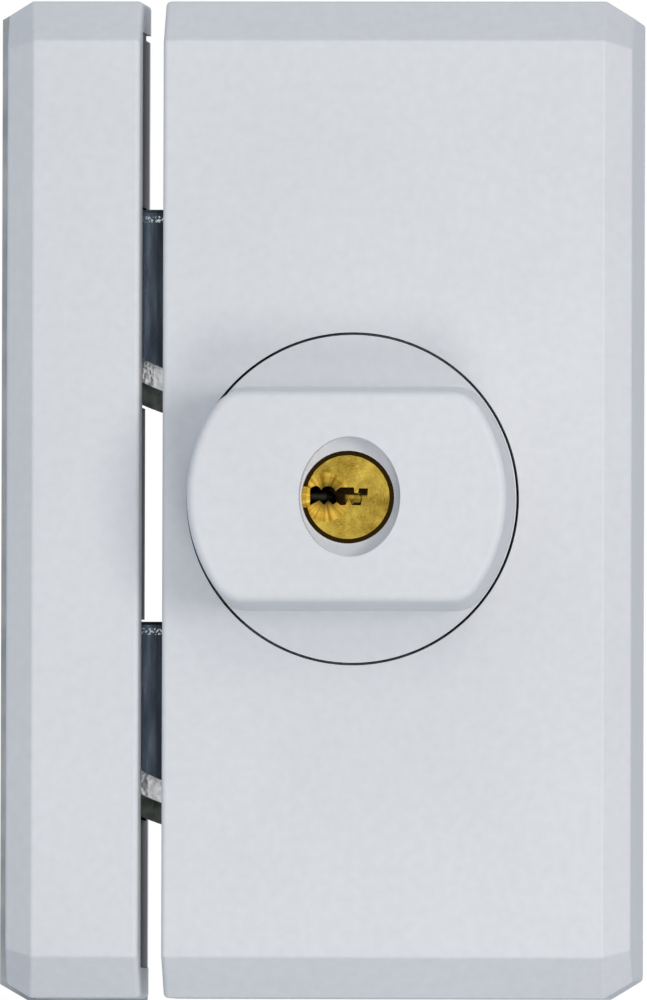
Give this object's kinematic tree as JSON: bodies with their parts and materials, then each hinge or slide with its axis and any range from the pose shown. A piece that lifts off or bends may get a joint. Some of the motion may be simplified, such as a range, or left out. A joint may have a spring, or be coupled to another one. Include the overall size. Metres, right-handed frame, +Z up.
{
  "type": "window lock",
  "caption": "Surface-mounted window lock whose turning knob with a key cylinder swings hook bolts from a case into a strike box beside it.",
  "frame": {"origin": "on the mounting plane, on the knob's axis, which is the middle of the case's screw holes", "axes": "+X to the right and +Z up as seen from the front, -Y out of the window towards the user"},
  "size_m": [0.0991, 0.043, 0.1538],
  "materials": {
    "white_coat": "white powder coat with a fine texture on die-cast zinc",
    "cast_zinc": "bare die-cast zinc, matte and bright",
    "blued_steel": "blackened and hardened steel plate with a low sheen",
    "dark_steel": "dark phosphated sheet steel",
    "plated_steel": "bright zinc-plated steel",
    "spring_steel": "oiled spring steel",
    "brass": "turned brass",
    "nickel_silver": "drawn nickel silver pins"
  },
  "bodies": {
    "case_and_strike": {"case_cover": "white_coat", "case_base": "cast_zinc", "cover_screws": "plated_steel", "bearing_plate": "plated_steel", "bearing_plate_posts": "plated_steel", "bearing_plate_screws": "plated_steel", "upper_pivot_pin": "plated_steel", "lower_pivot_pin": "plated_steel", "pivot_clips": "spring_steel", "pivot_washers": "plated_steel", "rack_guides": "cast_zinc", "rack_guide_screws": "plated_steel", "strike_base_plate": "dark_steel", "strike_chassis": "dark_steel", "upper_keeper_pin": "plated_steel", "lower_keeper_pin": "plated_steel", "strike_cover": "white_coat", "strike_cover_retainers": "spring_steel"},
    "knob_body": {"knob": "white_coat", "drive_hub": "cast_zinc", "hub_circlip": "spring_steel", "hub_screws": "plated_steel", "cylinder_body": "brass", "chamber_cover": "brass", "pin_springs": "spring_steel"},
    "plug": {"cylinder_plug": "brass", "plug_cam": "plated_steel", "plug_cam_screw": "plated_steel"},
    "key_pins_body": {"key_pins": "nickel_silver"},
    "driver_pins_body": {"driver_pins": "nickel_silver"},
    "dog": {"locking_dog": "plated_steel"},
    "rack": {"drive_rack": "plated_steel"},
    "upper_bolt": {"upper_bolt_rear_plate": "blued_steel", "upper_bolt_core": "cast_zinc", "upper_bolt_front_plate": "blued_steel", "upper_bolt_gear": "plated_steel", "upper_bolt_rivets": "plated_steel"},
    "lower_bolt": {"lower_bolt_rear_plate": "blued_steel", "lower_bolt_core": "cast_zinc", "lower_bolt_front_plate": "blued_steel", "lower_bolt_gear": "plated_steel", "lower_bolt_rivets": "plated_steel"}
  },
  "joints": [
    {"name": "knob_turn", "type": "hinge", "parent": "case_and_strike", "child": "knob_body", "pos_m": [0, 0, 0], "axis": [0, 1, 0], "range_deg": [0, 90]},
    {"name": "plug_turn", "type": "hinge", "parent": "knob_body", "child": "plug", "pos_m": [0, 0, 0], "axis": [0, 1, 0], "range_deg": [0, 90]},
    {"name": "key_pin_slide", "type": "slide", "parent": "plug", "child": "key_pins_body", "axis": [1, 0, 0], "range_m": [0, 0.001]},
    {"name": "driver_pin_slide", "type": "slide", "parent": "knob_body", "child": "driver_pins_body", "axis": [-1, 0, 0], "range_m": [0, 0.001], "deforming": ["pin_springs"]},
    {"name": "dog_slide", "type": "slide", "parent": "knob_body", "child": "dog", "axis": [0, 0, 1], "range_m": [0, 0.002]},
    {"name": "rack_slide", "type": "slide", "parent": "case_and_strike", "child": "rack", "axis": [0, 0, 1], "range_m": [0, 0.01257]},
    {"name": "upper_bolt_swing", "type": "hinge", "parent": "case_and_strike", "child": "upper_bolt", "pos_m": [-0.021, 0, 0.0429], "axis": [0, -1, 0], "range_deg": [0, 90]},
    {"name": "lower_bolt_swing", "type": "hinge", "parent": "case_and_strike", "child": "lower_bolt", "pos_m": [-0.021, 0, -0.0205], "axis": [0, -1, 0], "range_deg": [0, 90]}
  ],
  "couplings": [
    {"joint": "rack_slide", "follows": "knob_turn", "m_per_rad": 0.008},
    {"joint": "upper_bolt_swing", "follows": "knob_turn", "ratio": 1},
    {"joint": "lower_bolt_swing", "follows": "knob_turn", "ratio": 1},
    {"joint": "dog_slide", "follows": "plug_turn", "m_per_rad": 0.0012732}
  ]
}
